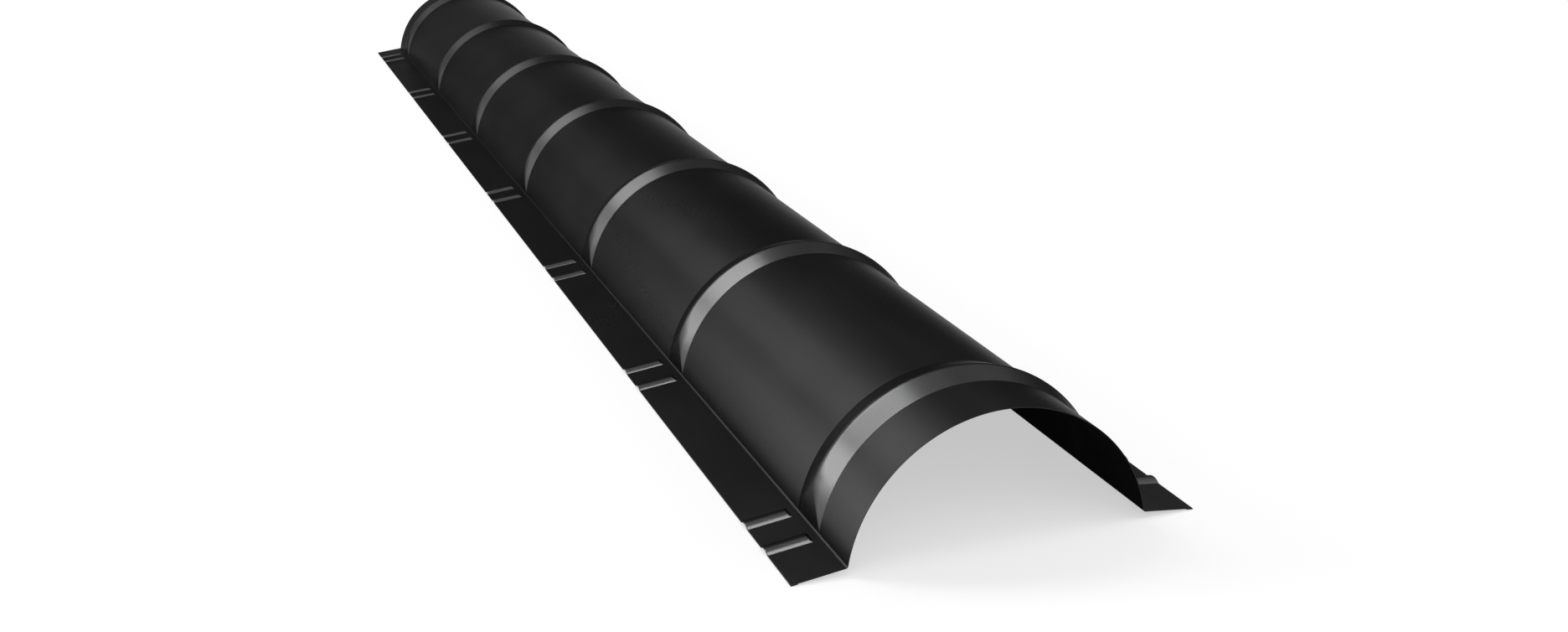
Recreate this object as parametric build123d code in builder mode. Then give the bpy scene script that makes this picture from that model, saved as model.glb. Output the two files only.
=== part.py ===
"""Half-round roof ridge cap: one length of roll-formed, coated steel sheet.

X runs across the cap, Y along the ridge and Z up. The cap lies on its hems, with the middle
of its footprint at the origin. Each surface is made as the skin of a filled form. The sheet is
what lies between the outer form and the same form one thickness further in, and a hem is where
it is two thicknesses.
"""

import os
from math import acos, cos, radians, sin, tan

from build123d import *

# Sizes in mm, angles in degrees
length = 2000.0
sheet_thickness = 0.5

barrel_radius = 110.0
barrel_rise = 92.0
fold_radius = 1.5

flange_width = 39.0
flange_fall = 7.0
hem_width = 5.0

rib_count = 7
rib_pitch = 310.0
rib_width = 40.0
rib_slope = 15.0
rib_end_slope = 9.0
rib_crest_radius = 9.0

bead_width = 14.0
bead_height = 2.4
bead_gap = 6.5
bead_end_slope = 45.0

# Section across the cap
fold_angle = acos(1 - barrel_rise / barrel_radius)
fold_x = barrel_radius * sin(fold_angle)
fall = radians(flange_fall)
fold_z = flange_width * sin(fall) + 2 * sheet_thickness * cos(fall)
barrel_z = fold_z - barrel_radius * cos(fold_angle)
outwards = (cos(fall), 0, -sin(fall))
upwards = (sin(fall), 0, cos(fall))

# Centre of the arc that a rib's end follows on one side: the barrel's arc, turned about the fold
end_angle = fold_angle + radians(rib_end_slope)
end_x = fold_x - barrel_radius * sin(end_angle)
end_z = fold_z - barrel_radius * cos(end_angle)

# Places along the cap: ribs evenly spaced about the middle, a bead in line with each rib foot
rib_places = [(i - (rib_count - 1) / 2) * rib_pitch for i in range(rib_count)]
bead_places = [y + side * rib_width / 2 for y in rib_places for side in (-1, 1)]
bead_radius = (bead_width**2 / 4 + bead_height**2) / (2 * bead_height)

# How far a filled form reaches below the hems, and how much further the inner ones reach
depth = 20.0
clear = 2.0


def on_flange(out, up):
    """Point of the section from its distance out from the fold and its height off the flange."""
    return (fold_x + out * outwards[0] + up * upwards[0], fold_z + out * outwards[2] + up * upwards[2])


def barrel_form(inset, beyond):
    """Barrel and flanges, filled below."""
    edge = flange_width + beyond
    top, foot = on_flange(edge, -inset), on_flange(edge, -depth - fold_z)
    ridge = fold_z - inset / cos(fall) + fold_x * tan(fall)
    near = fold_radius + 2 * inset
    with BuildPart() as form:
        with BuildSketch(Plane.XZ) as section:
            with Locations(Location((0, barrel_z, 0), (0, 0, -90))):
                Circle(barrel_radius - inset)
            Polygon((-top[0], top[1]), (0, ridge), top, foot, (-foot[0], foot[1]), align=None)
            corners = section.vertices().filter_by_position(Axis.Y, fold_z - near, fold_z + near)
            fillet(corners.filter_by(lambda v: abs(v.X) < fold_x + near), fold_radius + inset)
            with Locations((0, -depth - beyond)):
                Rectangle(4 * fold_x, 4 * fold_x, align=(Align.CENTER, Align.MIN), mode=Mode.INTERSECT)
        extrude(amount=length / 2 + beyond, both=True)
    return form.part


def rib_form(inset):
    """Ribs round the barrel, each end run out to the fold on an arc like the barrel's, but steeper."""
    slope = radians(rib_slope)
    apex = barrel_radius + rib_width / 2 * tan(slope) - inset / cos(slope)
    base = barrel_radius - inset - clear
    half_base = (apex - base) / tan(slope)
    with BuildPart() as form:
        with BuildSketch(Plane.YZ) as profile:
            with Locations(*[(y, barrel_z) for y in rib_places]):
                Polygon((-half_base, base), (0, apex), (half_base, base), align=None)
            crests = profile.vertices().filter_by_position(Axis.Y, barrel_z + apex - 0.1, barrel_z + apex + 0.1)
            fillet(crests, rib_crest_radius - inset)
        revolve(axis=Axis((0, 0, barrel_z), (0, 1, 0)))
        with BuildSketch(Plane.XZ):
            with Locations((0, fold_z)):
                Rectangle(4 * apex, 2 * apex, align=(Align.CENTER, Align.MIN))
            for x in (-end_x, end_x):
                with Locations((x, end_z)):
                    Circle(barrel_radius - inset, mode=Mode.INTERSECT)
        extrude(amount=length / 2, both=True, mode=Mode.INTERSECT)
    return form.part


def bead_form(inset, beyond):
    """Beads across both flanges, from the outer edge to a sloped end short of the fold."""
    slope = radians(bead_end_slope)
    low, high = -inset - clear, bead_height + clear
    end = [bead_gap + inset * tan(slope / 2) + (z + inset) / tan(slope) for z in (low, high)]
    edge = flange_width + beyond
    with BuildPart() as form:
        with BuildSketch(Plane((fold_x, 0, fold_z), x_dir=(0, 1, 0), z_dir=outwards)):
            with Locations(*[(y, bead_height - bead_radius) for y in bead_places]):
                Circle(bead_radius - inset)
        extrude(amount=edge)
        with BuildSketch(Plane((fold_x, 0, fold_z), x_dir=outwards, z_dir=(0, -1, 0))):
            Polygon((end[0], low), (end[1], high), (edge, high), (edge, low), align=None)
        extrude(amount=length / 2, both=True, mode=Mode.INTERSECT)
        mirror(about=Plane.YZ)
    return form.part


def skin_form(inset, beyond):
    """Everything under the skin that lies the inset further in than the outer face."""
    with BuildPart() as form:
        add(barrel_form(inset, beyond))
        add(rib_form(inset))
        add(bead_form(inset, beyond))
    return form.part


def hem_band():
    """Strips of the section over the hems, the full length."""
    with BuildPart() as band:
        with BuildSketch(Plane((fold_x, 0, fold_z), x_dir=outwards, z_dir=(0, -1, 0))):
            with Locations((flange_width - hem_width, 0)):
                Rectangle(hem_width + 2 * clear, 2 * depth, align=(Align.MIN, Align.CENTER))
        extrude(amount=length / 2 + 2 * clear, both=True)
        mirror(about=Plane.YZ)
    return band.part


with BuildPart() as above_hem:
    add(hem_band())
    add(skin_form(2 * sheet_thickness, clear), mode=Mode.SUBTRACT)

with BuildPart() as hollow:
    add(skin_form(sheet_thickness, clear))
    add(above_hem.part, mode=Mode.SUBTRACT)

with BuildPart() as ridge_cap:
    add(skin_form(0, 0))
    add(hollow.part, mode=Mode.SUBTRACT)

ridge_cap.part.label = "ridge_cap"
ridge_cap.part.color = Color(0.02, 0.02, 0.022)

os.makedirs("parts", exist_ok=True)
export_step(ridge_cap.part, "parts/ridge_cap.step")
box = ridge_cap.part.bounding_box()
print(f"ridge_cap {box.size.X:.2f} x {box.size.Y:.2f} x {box.size.Z:.2f}, lowest {box.min.Z:.3f}, "
      f"{ridge_cap.part.volume / 1000:.1f} cm3, {len(ridge_cap.solids())} solid")
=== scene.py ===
import math

import bpy
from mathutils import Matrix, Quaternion, Vector


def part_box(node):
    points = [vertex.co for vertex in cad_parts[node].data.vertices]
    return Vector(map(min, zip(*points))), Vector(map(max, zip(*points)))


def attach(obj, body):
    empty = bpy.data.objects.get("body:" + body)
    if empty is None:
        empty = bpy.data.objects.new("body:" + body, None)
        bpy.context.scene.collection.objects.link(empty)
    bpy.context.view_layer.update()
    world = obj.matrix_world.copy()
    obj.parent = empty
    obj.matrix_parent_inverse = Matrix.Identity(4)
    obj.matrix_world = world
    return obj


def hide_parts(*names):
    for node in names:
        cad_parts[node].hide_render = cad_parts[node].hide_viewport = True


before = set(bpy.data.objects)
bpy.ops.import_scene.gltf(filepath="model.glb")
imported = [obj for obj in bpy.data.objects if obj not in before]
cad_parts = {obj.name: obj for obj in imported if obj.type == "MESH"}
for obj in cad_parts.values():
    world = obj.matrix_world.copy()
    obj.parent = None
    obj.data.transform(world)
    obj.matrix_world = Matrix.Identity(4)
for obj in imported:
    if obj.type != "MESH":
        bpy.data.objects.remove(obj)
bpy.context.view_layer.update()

SCENE = bpy.context.scene
MM = 0.001

# Sheet sizes that the frame's box doesn't give
SHEET = 0.5 * MM
BARREL_RADIUS = 110 * MM
BARREL_RISE = 92 * MM
FOLD_RADIUS = 1.5 * MM
FLANGE_FALL = math.radians(7)
HEM_WIDTH = 5 * MM
HEM_SLIT = 0.08 * MM

RIB_COUNT = 7
RIB_PITCH = 310 * MM
RIB_WIDTH = 40 * MM
RIB_CREST = 2.33 * MM
RIB_END_SLOPE = math.radians(9)
RIB_FOOT_BLEND = 0.09 * MM
RIB_END_BLEND = 3 * MM

BEAD_WIDTH = 14 * MM
BEAD_HEIGHT = 2.4 * MM
BEAD_GAP = 6.5 * MM
BEAD_END_SLOPE = math.tan(math.radians(45))
BEAD_FOOT_BLEND = 0.12 * MM
BEAD_END_BLEND = 0.7 * MM

# Each coat's colour, share of its gloss that is left at a slant, roughness and depth of grain
OUTER_COAT = ((0.1, 0.1, 0.101), 0.14, 0.31, 0.004 * MM)
BACK_COAT = ((0.015, 0.015, 0.015), 0.0, 0.6, 0.01 * MM)
EDGE_COLOUR = (0.03, 0.03, 0.031)

# Noise cells to the metre along each axis: the coats' grain, rolling streaks and patches of gloss,
# and the marks on the cut edge
PEBBLE = 1.2 * MM
PEBBLES = (1 / PEBBLE,) * 3
STREAKS = (60, 1.5, 60)
GLOSS_PATCHES = (14, 9, 14)
SHEAR_MARKS = (2500, 2500, 2500)

# What the noises do to the level of a colour or to a roughness
PEBBLE_LEVELS = (0.96, 1.04)
STREAK_LEVELS = (0.97, 1.03)
GLOSS_SPREAD = 0.012
EDGE_LEVELS = (0.6, 1.4)
EDGE_ROUGHNESS = (0.42, 0.58)

# A full metal this dark at a slant has a gloss cut off at nothing, with a false line at the crown
NEARLY_METAL = 0.99

# Section across the cap, worked out as the frame's node has it
COS_FALL, SIN_FALL = math.cos(FLANGE_FALL), math.sin(FLANGE_FALL)
node_low, node_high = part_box("ridge_cap")
FOLD_ANGLE = math.acos(1 - BARREL_RISE / BARREL_RADIUS)
FOLD_X = BARREL_RADIUS * math.sin(FOLD_ANGLE)
FLANGE_WIDTH = (node_high.x - FOLD_X - BEAD_HEIGHT * SIN_FALL) / COS_FALL
FOLD_Z = node_low.z + FLANGE_WIDTH * SIN_FALL + 2 * SHEET * COS_FALL
BARREL_Z = FOLD_Z - BARREL_RADIUS * math.cos(FOLD_ANGLE)
MIDDLE_Y = (node_low.y + node_high.y) / 2
BEAD_RADIUS = (BEAD_WIDTH**2 / 4 + BEAD_HEIGHT**2) / (2 * BEAD_HEIGHT)
CREST_HEIGHT = node_high.z - BARREL_Z - BARREL_RADIUS
RIB_SLOPE = CREST_HEIGHT / (RIB_WIDTH / 2 - RIB_CREST / 2)


def fold_arc():
    """Centre of the fold's hollow arc, the angle on the barrel where it starts and the distance out
    along the flange where it ends."""
    x = FOLD_X + FOLD_RADIUS * SIN_FALL
    z = FOLD_Z + FOLD_RADIUS * COS_FALL - BARREL_Z
    along = x * COS_FALL - z * SIN_FALL
    out = -along + math.sqrt(along**2 - x**2 - z**2 + (BARREL_RADIUS + FOLD_RADIUS)**2)
    centre = (x + out * COS_FALL, z - out * SIN_FALL)
    return (centre[0], centre[1] + BARREL_Z), math.atan2(*centre), out


FOLD_CENTRE, FOLD_START, FOLD_END = fold_arc()
S_FOLD = BARREL_RADIUS * FOLD_START
S_FLANGE = S_FOLD + FOLD_RADIUS * (FOLD_START - FLANGE_FALL)
S_NOSE = S_FLANGE + FLANGE_WIDTH - SHEET - FOLD_END


# Outer skin as a function of the way round the section, s, and the place along the cap, y
LEAST_BLEND = 1e-6 * MM


def smooth_max(a, b, blend):
    """Greater of two heights, rounded where they differ by less than the blend."""
    blend = max(blend, LEAST_BLEND)
    near = max(blend - abs(a - b), 0) / blend
    return max(a, b) + near**2 * blend / 4


def smooth_min(a, b, blend):
    return -smooth_max(-a, -b, blend)


def rib_run_out(angle):
    """Height over the barrel of the arc that a rib's end follows: the barrel's own arc, turned
    about the place where the fold starts."""
    shift = 2 * BARREL_RADIUS * math.sin(RIB_END_SLOPE / 2)
    turn = FOLD_START + RIB_END_SLOPE / 2 - angle
    to_arc = math.sqrt(BARREL_RADIUS**2 - (shift * math.cos(turn))**2)
    return shift * math.sin(turn) + to_arc - BARREL_RADIUS


def end_blend(limit):
    """How far the crease between a rib's slope and its end is rounded: sharp at the fold and soft
    at the crest."""
    return RIB_END_BLEND * min(limit / CREST_HEIGHT, 1)**2


def from_rib(y):
    """Distance from the middle of the nearest rib."""
    half = (RIB_COUNT - 1) / 2
    nearest = min(max(round((y - MIDDLE_Y) / RIB_PITCH), -half), half)
    return abs(y - MIDDLE_Y - nearest * RIB_PITCH)


def rib_height(angle, y):
    """Height of the skin over the barrel."""
    off = from_rib(y)
    if off > RIB_WIDTH / 2 + 2 * RIB_FOOT_BLEND / RIB_SLOPE:
        return 0.0
    height = RIB_SLOPE * (RIB_WIDTH / 2 - off)
    if off < RIB_CREST:
        height = RIB_SLOPE * (RIB_WIDTH / 2 - (off**2 / RIB_CREST + RIB_CREST) / 2)
    limit = rib_run_out(angle)
    height = smooth_min(height, limit, end_blend(limit))
    return smooth_max(height, 0, min(RIB_FOOT_BLEND, limit))


def bead_height(out, y):
    """Height of the skin over the flange."""
    off = abs(from_rib(y) - RIB_WIDTH / 2)
    if off > 0.7 * BEAD_WIDTH:
        return 0.0
    height = math.sqrt(BEAD_RADIUS**2 - off**2) - BEAD_RADIUS + BEAD_HEIGHT
    end = (out - BEAD_GAP) * BEAD_END_SLOPE
    return smooth_max(smooth_min(height, end, BEAD_END_BLEND), 0, BEAD_FOOT_BLEND)


def skin(s, y):
    """Point of the outer skin."""
    if s < S_FOLD:
        angle = s / BARREL_RADIUS
        radius = BARREL_RADIUS + rib_height(angle, y)
        return Vector((radius * math.sin(angle), y, BARREL_Z + radius * math.cos(angle)))
    if s < S_FLANGE:
        angle = FOLD_START - (s - S_FOLD) / FOLD_RADIUS
        return Vector((FOLD_CENTRE[0] - FOLD_RADIUS * math.sin(angle), y,
                       FOLD_CENTRE[1] - FOLD_RADIUS * math.cos(angle)))
    out = FOLD_END + s - S_FLANGE
    height = bead_height(out, y)
    return Vector((FOLD_X + out * COS_FALL + height * SIN_FALL, y,
                   FOLD_Z - out * SIN_FALL + height * COS_FALL))


# Half the distance over which the skin's direction is taken
SLOPE_STEP = 0.02 * MM


def skin_frame(s, y):
    """Point of the skin, the direction square to it and the direction outwards along it."""
    along = Vector((1, 0, 0))
    if s:
        along = skin(s + SLOPE_STEP, y) - skin(s - SLOPE_STEP, y)
    normal = along.cross(skin(s, y + SLOPE_STEP) - skin(s, y - SLOPE_STEP)).normalized()
    return skin(s, y), normal, along.normalized()


# Lines of the mesh: the least height at a rib's end that spaces them, how far they reach beside a
# crease, how many cross the smooth stretches, where they lie about a bead's end and about the hem's
# turn, and the angle round the barrel from which they are closer
LEAST_RUN_OUT = 0.3 * MM
CREASE_REACH = 0.5 * MM
LINES_BETWEEN_RIBS = 6
LINES_OVER_CROWN = 24
LINES_OVER_SIDE = 18
LINES_OVER_FOLD = 8
LINES_ROUND_NOSE = 8
SIDE_START = math.radians(60)
BEAD_END_LINES = [x * MM for x in (-1, -0.4, 0, 0.4, 0.9, 1.4, 1.9, 2.4, 2.9, 3.6, 5)]
BEAD_LINES_START = 10 * MM
HEM_LINES = [x * MM for x in (-2, -0.5, 2)]
HEM_TURN = -1 * MM


def spread(first, last, count):
    """Evenly spaced values from the first to just short of the last."""
    return [first + (last - first) * i / count for i in range(count)]


def rib_offsets(angle):
    """Distances from a rib's middle, from foot to crest, closer beside its rounded creases."""
    limit = max(rib_run_out(angle), LEAST_RUN_OUT)
    foot = RIB_FOOT_BLEND / RIB_SLOPE
    crease = RIB_WIDTH / 2 - limit / RIB_SLOPE
    reach = max(end_blend(limit) / RIB_SLOPE, CREASE_REACH)
    high = min(max(crease + reach, 1.15 * RIB_CREST), RIB_WIDTH / 2 - foot)
    low = max(crease - reach, high / 7)
    inner_foot = RIB_WIDTH / 2 - foot
    return (spread(RIB_WIDTH / 2 + foot, inner_foot, 4) + spread(inner_foot, high, 3)
            + spread(high, low, 5) + [low])


def bead_offsets():
    """The same count of distances, across the bead in line with the rib's foot."""
    half = BEAD_WIDTH / 2
    foot = BEAD_FOOT_BLEND * 2
    side = [half + foot, half, half - foot] + spread(half - 2 * foot, 0, 3)
    return [RIB_WIDTH / 2 + x for x in side + [0] + [-x for x in reversed(side)]]


def smooth_step(x):
    x = min(max(x, 0), 1)
    return x * x * (3 - 2 * x)


def lengthways(s):
    """Places along the cap of the mesh's lines at one way round the section."""
    bead_start = S_FLANGE - FOLD_END + BEAD_GAP + BEAD_END_LINES[0]
    share = smooth_step((s - S_FOLD) / (bead_start - S_FOLD))
    ribs = rib_offsets(min(s / BARREL_RADIUS, FOLD_START))
    offsets = [r + (b - r) * share for r, b in zip(ribs, bead_offsets())]
    places, last = [], node_low.y
    for i in range(RIB_COUNT):
        middle = MIDDLE_Y + (i - (RIB_COUNT - 1) / 2) * RIB_PITCH
        places += spread(last, middle - offsets[0], LINES_BETWEEN_RIBS)
        places += [middle - x for x in offsets] + [middle] + [middle + x for x in reversed(offsets)]
        last = places.pop()
    return places + spread(last, node_high.y, LINES_BETWEEN_RIBS) + [node_high.y]


def half_columns():
    """Pairs of outer and inner columns from the crown to the end of the hem. Each is the way round
    the section, an offset square to the skin and outwards, and the direction that it faces."""
    barrel = spread(0, SIDE_START, LINES_OVER_CROWN)
    barrel += spread(SIDE_START, FOLD_START, LINES_OVER_SIDE)
    ways = [BARREL_RADIUS * a for a in barrel] + spread(S_FOLD, S_FLANGE, LINES_OVER_FOLD)
    hem = FLANGE_WIDTH - HEM_WIDTH
    outs = [FOLD_END] + [BEAD_GAP + x for x in BEAD_END_LINES]
    outs += spread(BEAD_GAP + BEAD_LINES_START, hem + HEM_LINES[0], 3)
    outs += [hem + x for x in HEM_LINES]
    ways += [S_FLANGE + out - FOLD_END for out in outs] + [S_NOSE]
    slit = HEM_SLIT / 2
    inside = SHEET - slit
    depths = [inside if s > S_FLANGE + hem + HEM_TURN - FOLD_END else SHEET for s in ways]
    columns = [((s, 0, 0, 1, 0), (s, -d, 0, -1, 0)) for s, d in zip(ways, depths)]
    for i in range(1, LINES_ROUND_NOSE):
        turn = math.pi * i / LINES_ROUND_NOSE
        up, out = math.cos(turn), math.sin(turn)
        columns.append(((S_NOSE, SHEET * (up - 1), SHEET * out, up, out),
                        (S_NOSE, slit * up - SHEET, slit * out, -up, -out)))
    for share in (0, 0.5, 1):
        s = S_NOSE - share * (HEM_WIDTH - SHEET)
        columns.append(((s, -2 * SHEET, 0, -1, 0), (s, inside - 2 * SHEET, 0, 1, 0)))
    return columns


def sheet_vertices(columns, side):
    """Points and facing directions of a list of columns, on one side of the cap."""
    rows = []
    for s, up, out, facing_up, facing_out in columns:
        row = []
        for y in lengthways(s):
            point, normal, along = skin_frame(s, y)
            pair = (point + normal * up + along * out, normal * facing_up + along * facing_out)
            row.append([Vector((side * v.x, v.y, v.z)) for v in pair])
        rows.append(row)
    return rows


# Material slots of the sheet
OUTER, BACK, EDGE = 0, 1, 2


def cap_mesh():
    """The sheet: an outer and an inner layer of the same grid, joined along the cut edges."""
    pairs = half_columns()
    layers = []
    for layer in (0, 1):
        half = [pair[layer] for pair in pairs]
        layers.append(list(reversed(sheet_vertices(half[1:], -1))) + sheet_vertices(half, 1))
    wide, count = len(layers[0]), len(layers[0][0])
    points = [p for rows in layers for row in rows for p, facing in row]
    facings = [facing for rows in layers for row in rows for p, facing in row]

    def at(layer, i, j):
        return (layer * wide + i) * count + j

    faces, slots, loops = [], [], []

    def face(corners, slot, facing=None):
        faces.append(corners)
        slots.append(slot)
        loops.extend(facing or facings[c] for c in corners)

    for i in range(wide - 1):
        for j in range(count - 1):
            face((at(0, i, j), at(0, i + 1, j), at(0, i + 1, j + 1), at(0, i, j + 1)), OUTER)
            face((at(1, i, j), at(1, i, j + 1), at(1, i + 1, j + 1), at(1, i + 1, j)), BACK)
    near, far, e = Vector((0, -1, 0)), Vector((0, 1, 0)), count - 1
    for i in range(wide - 1):
        face((at(0, i, 0), at(1, i, 0), at(1, i + 1, 0), at(0, i + 1, 0)), EDGE, near)
        face((at(0, i, e), at(0, i + 1, e), at(1, i + 1, e), at(1, i, e)), EDGE, far)
    right, left, e = Vector((COS_FALL, 0, SIN_FALL)), Vector((-COS_FALL, 0, SIN_FALL)), wide - 1
    for j in range(count - 1):
        face((at(0, 0, j), at(0, 0, j + 1), at(1, 0, j + 1), at(1, 0, j)), EDGE, right)
        face((at(0, e, j), at(1, e, j), at(1, e, j + 1), at(0, e, j + 1)), EDGE, left)

    mesh = bpy.data.meshes.new("cap_sheet")
    mesh.from_pydata(points, [], faces)
    mesh.shade_smooth()
    mesh.polygons.foreach_set("material_index", slots)
    mesh.normals_split_custom_set(loops)
    return mesh


# Materials

def material(name):
    """A new material, its node tree and its Principled shader."""
    mat = bpy.data.materials.new(name)
    mat.use_nodes = True
    return mat, mat.node_tree, mat.node_tree.nodes["Principled BSDF"]


def math_node(tree, operation, *values):
    """Output of a math node whose inputs are numbers or other nodes' outputs."""
    node = tree.nodes.new("ShaderNodeMath")
    node.operation = operation
    for socket, value in zip(node.inputs, values):
        if isinstance(value, (int, float)):
            socket.default_value = value
        else:
            tree.links.new(value, socket)
    return node.outputs[0]


def noise(tree, cells, detail):
    """Even noise with a number of cells to the metre along each axis."""
    where = tree.nodes.new("ShaderNodeTexCoord")
    stretch = tree.nodes.new("ShaderNodeMapping")
    stretch.inputs["Scale"].default_value = cells
    texture = tree.nodes.new("ShaderNodeTexNoise")
    texture.inputs["Scale"].default_value = 1.0
    texture.inputs["Detail"].default_value = detail
    tree.links.new(where.outputs["Object"], stretch.inputs["Vector"])
    tree.links.new(stretch.outputs["Vector"], texture.inputs["Vector"])
    return texture.outputs["Fac"]


def between(tree, share, low, high):
    """A value that goes from low to high as the noise goes from a third to two thirds."""
    ramp = tree.nodes.new("ShaderNodeMapRange")
    ramp.inputs["From Min"].default_value = 1 / 3
    ramp.inputs["From Max"].default_value = 2 / 3
    ramp.inputs["To Min"].default_value = low
    ramp.inputs["To Max"].default_value = high
    tree.links.new(share, ramp.inputs["Value"])
    return ramp.outputs["Result"]


def tint(tree, level, colour):
    """A colour times a level that varies over the surface."""
    scale = tree.nodes.new("ShaderNodeVectorMath")
    scale.operation = "SCALE"
    scale.inputs[0].default_value = colour
    tree.links.new(level, scale.inputs["Scale"])
    return scale.outputs["Vector"]


def relief(tree, height, depth):
    """Normal of a fine relief of so many metres from its lowest to its highest."""
    bump = tree.nodes.new("ShaderNodeBump")
    bump.inputs["Distance"].default_value = depth
    tree.links.new(height, bump.inputs["Height"])
    return bump.outputs["Normal"]


def coat(name, colour, gloss_tint, roughness, grain):
    """Polymer coat on rolled sheet: a pebbled grain, long faint rolling streaks and patches of
    gloss."""
    mat, tree, shader = material(name)
    pebbles = noise(tree, PEBBLES, 2)
    streaks = noise(tree, STREAKS, 3)
    patches = noise(tree, GLOSS_PATCHES, 2)
    level = math_node(tree, "MULTIPLY", between(tree, streaks, *STREAK_LEVELS),
                      between(tree, pebbles, *PEBBLE_LEVELS))
    gloss = between(tree, patches, roughness - GLOSS_SPREAD, roughness + GLOSS_SPREAD)
    shader.inputs["Metallic"].default_value = NEARLY_METAL
    shader.inputs["Specular Tint"].default_value = (gloss_tint, gloss_tint, gloss_tint, 1)
    tree.links.new(tint(tree, level, colour), shader.inputs["Base Color"])
    tree.links.new(gloss, shader.inputs["Roughness"])
    tree.links.new(relief(tree, pebbles, grain), shader.inputs["Normal"])
    return mat


def cut_edge():
    """Sheared edge, nearly black all over: fine marks, brighter and duller by turns."""
    mat, tree, shader = material("cut_edge")
    marks = noise(tree, SHEAR_MARKS, 2)
    shader.inputs["Metallic"].default_value = 1.0
    colour = tint(tree, between(tree, marks, *EDGE_LEVELS), EDGE_COLOUR)
    tree.links.new(colour, shader.inputs["Base Color"])
    tree.links.new(between(tree, marks, *EDGE_ROUGHNESS), shader.inputs["Roughness"])
    return mat


def cap():
    """The one piece, in place of the frame's node."""
    mesh = cap_mesh()
    mesh.materials.append(coat("coated_steel_black", *OUTER_COAT))
    mesh.materials.append(coat("back_coat_black", *BACK_COAT))
    mesh.materials.append(cut_edge())
    obj = bpy.data.objects.new("cap_sheet", mesh)
    SCENE.collection.objects.link(obj)
    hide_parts("ridge_cap")
    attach(obj, "root")


cap()


# Floor and backdrop
WHITE = (0.86, 0.86, 0.86, 1)
FLOOR_REACH = 30.0
BACKDROP_HEIGHT = 7.6
BACKDROP_SIDES = 36

# Share of the floor's white that is its own near the cap, and the distances over which it rises to
# all of it
NEAR_SHARE = 0.54
SHADED_REACH = 3.0
PLAIN_REACH = 9.0


def white():
    """Matt white. A share of what is seen of it, straight or in a gloss, is its own plain white,
    and the rest is lit and takes shadows. Far from the cap it is all its own."""
    mat, tree, shader = material("white")
    shader.inputs["Base Color"].default_value = WHITE
    shader.inputs["Roughness"].default_value = 0.9
    shader.inputs["Specular IOR Level"].default_value = 0.1
    rays = tree.nodes.new("ShaderNodeLightPath").outputs
    mirrored = math_node(tree, "MAXIMUM", rays["Is Glossy Ray"], rays["Is Transmission Ray"])
    seen = math_node(tree, "MAXIMUM", rays["Is Camera Ray"], mirrored)
    away = tree.nodes.new("ShaderNodeVectorMath")
    away.operation = "LENGTH"
    tree.links.new(tree.nodes.new("ShaderNodeTexCoord").outputs["Object"], away.inputs[0])
    own = tree.nodes.new("ShaderNodeMapRange")
    own.inputs["From Min"].default_value = SHADED_REACH
    own.inputs["From Max"].default_value = PLAIN_REACH
    own.inputs["To Min"].default_value = NEAR_SHARE
    tree.links.new(away.outputs["Value"], own.inputs["Value"])
    glow = tree.nodes.new("ShaderNodeEmission")
    mix = tree.nodes.new("ShaderNodeMixShader")
    tree.links.new(math_node(tree, "MULTIPLY", seen, own.outputs["Result"]), mix.inputs["Fac"])
    tree.links.new(shader.outputs[0], mix.inputs[1])
    tree.links.new(glow.outputs[0], mix.inputs[2])
    tree.links.new(mix.outputs[0], tree.nodes["Material Output"].inputs["Surface"])
    return mat


def stage(name, points, faces, mat):
    mesh = bpy.data.meshes.new(name)
    mesh.from_pydata(points, [], faces)
    mesh.materials.append(mat)
    obj = bpy.data.objects.new(name, mesh)
    SCENE.collection.objects.link(obj)


def ring(height):
    """Corners of the backdrop at one height."""
    turns = [2 * math.pi * i / BACKDROP_SIDES for i in range(BACKDROP_SIDES)]
    return [(FLOOR_REACH * math.cos(a), FLOOR_REACH * math.sin(a), height) for a in turns]


def surroundings():
    """Round floor with a low wall about it."""
    paper = white()
    n = BACKDROP_SIDES
    walls = [(i, i + n, (i + 1) % n + n, (i + 1) % n) for i in range(n)]
    stage("floor", ring(0), [tuple(range(n))], paper)
    stage("backdrop", ring(0) + ring(BACKDROP_HEIGHT), walls, paper)


surroundings()


# Light

def softbox(name, size, radiance, azimuth, elevation, distance, roll):
    """Rectangular light that faces the cap. Its azimuth is to the left of +Y, and the angles are in
    degrees."""
    data = bpy.data.lights.new(name, "AREA")
    data.shape = "RECTANGLE"
    data.size, data.size_y = size
    data.energy = radiance * math.pi * size[0] * size[1]
    obj = bpy.data.objects.new(name, data)
    SCENE.collection.objects.link(obj)
    az, el = math.radians(azimuth), math.radians(elevation)
    towards = Vector((-math.sin(az) * math.cos(el), math.cos(az) * math.cos(el), math.sin(el)))
    obj.location = towards * distance
    obj.rotation_mode = "QUATERNION"
    rolled = Quaternion((0, 0, 1), math.radians(roll))
    obj.rotation_quaternion = towards.to_track_quat("Z", "Y") @ rolled


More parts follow.
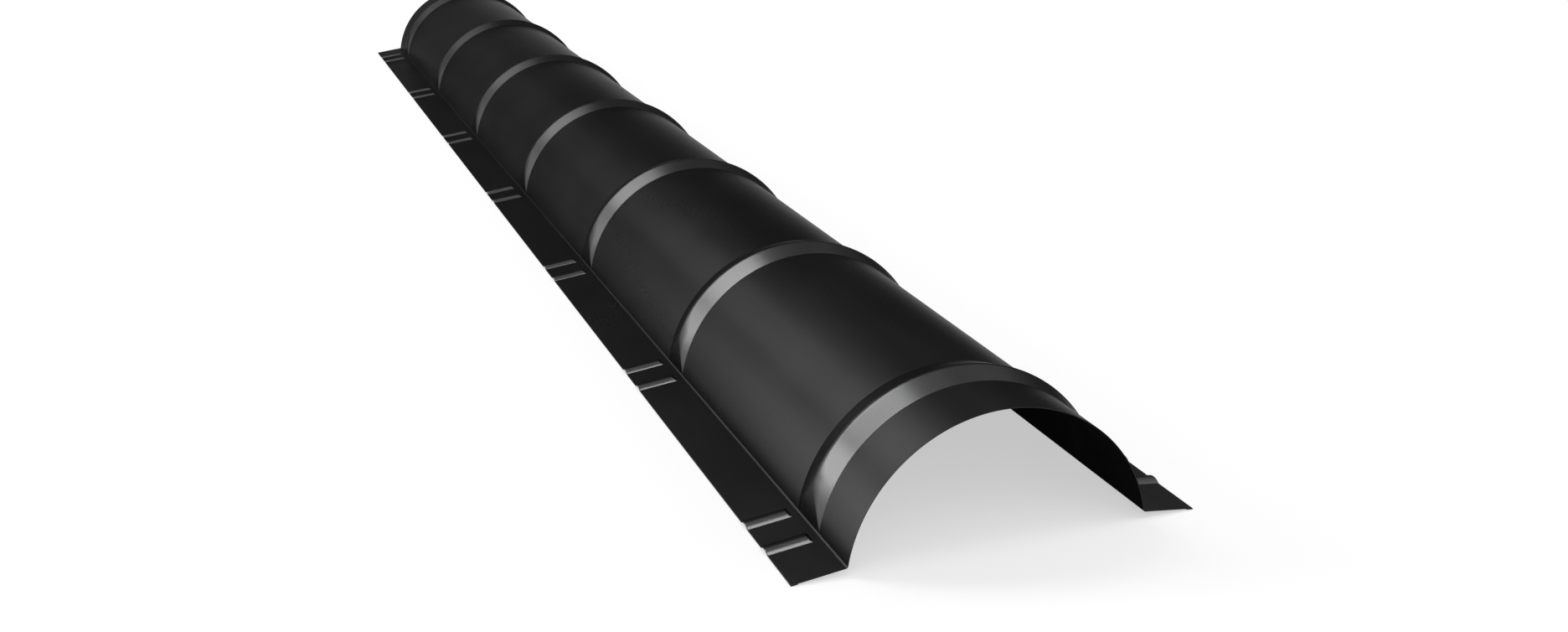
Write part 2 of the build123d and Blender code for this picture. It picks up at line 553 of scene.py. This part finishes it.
# Sine of the angle to the right of straight ahead from which the room is bright on that side
RIGHT_START = 0.17


def surround(front, right):
    """Room that is dark but for a soft light in front of the cap, behind the camera, and one on
    its right."""
    world = bpy.data.worlds.new("room")
    SCENE.world = world
    world.use_nodes = True
    tree = world.node_tree
    axes = tree.nodes.new("ShaderNodeSeparateXYZ")
    tree.links.new(tree.nodes.new("ShaderNodeTexCoord").outputs["Generated"], axes.inputs[0])
    forward = math_node(tree, "MAXIMUM", math_node(tree, "MULTIPLY", axes.outputs["Y"], -front), 0)
    beyond = math_node(tree, "SUBTRACT", axes.outputs["X"], RIGHT_START)
    sideways = math_node(tree, "MAXIMUM", math_node(tree, "MULTIPLY", beyond, right), 0)
    back = tree.nodes["Background"]
    back.inputs["Color"].default_value = (1, 1, 1, 1)
    tree.links.new(math_node(tree, "ADD", forward, sideways), back.inputs["Strength"])


surround(front=2.0, right=1.6)

# Name, width and height, radiance, azimuth, elevation, distance and roll
softbox("key_left", (2.945, 4.903), 8.8, 62.4, 20.8, 12, 8.7)
softbox("fill_left", (3.443, 7.98), 6.9, 37.9, 49.6, 12, 41.3)
softbox("back_left", (3.6, 3.59), 1.8, 11.5, 18.5, 12, 146.4)
softbox("back_high", (5.0, 4.0), 0.6, -10, 62, 12, 0)
softbox("overhead", (2.0, 2.0), 6.5, 207, 76, 6, 0)


# Camera, fitted to the edges of the cap in the photograph: place, turns in degrees, and lens and
# sensor in mm
CAMERA_PLACE = (-0.46669, -1.88015, 0.511)
CAMERA_TURNS = (70.5693, 0.9095, -20.1953)
LENS, SENSOR = 38.4145, 36.0


def camera():
    data = bpy.data.cameras.new("camera")
    data.sensor_width = SENSOR
    data.lens = LENS
    obj = bpy.data.objects.new("camera", data)
    obj.location = CAMERA_PLACE
    obj.rotation_euler = [math.radians(a) for a in CAMERA_TURNS]
    data.clip_start, data.clip_end = 0.05, 100
    SCENE.collection.objects.link(obj)
    SCENE.camera = obj


camera()
SCENE.view_settings.view_transform = "Standard"
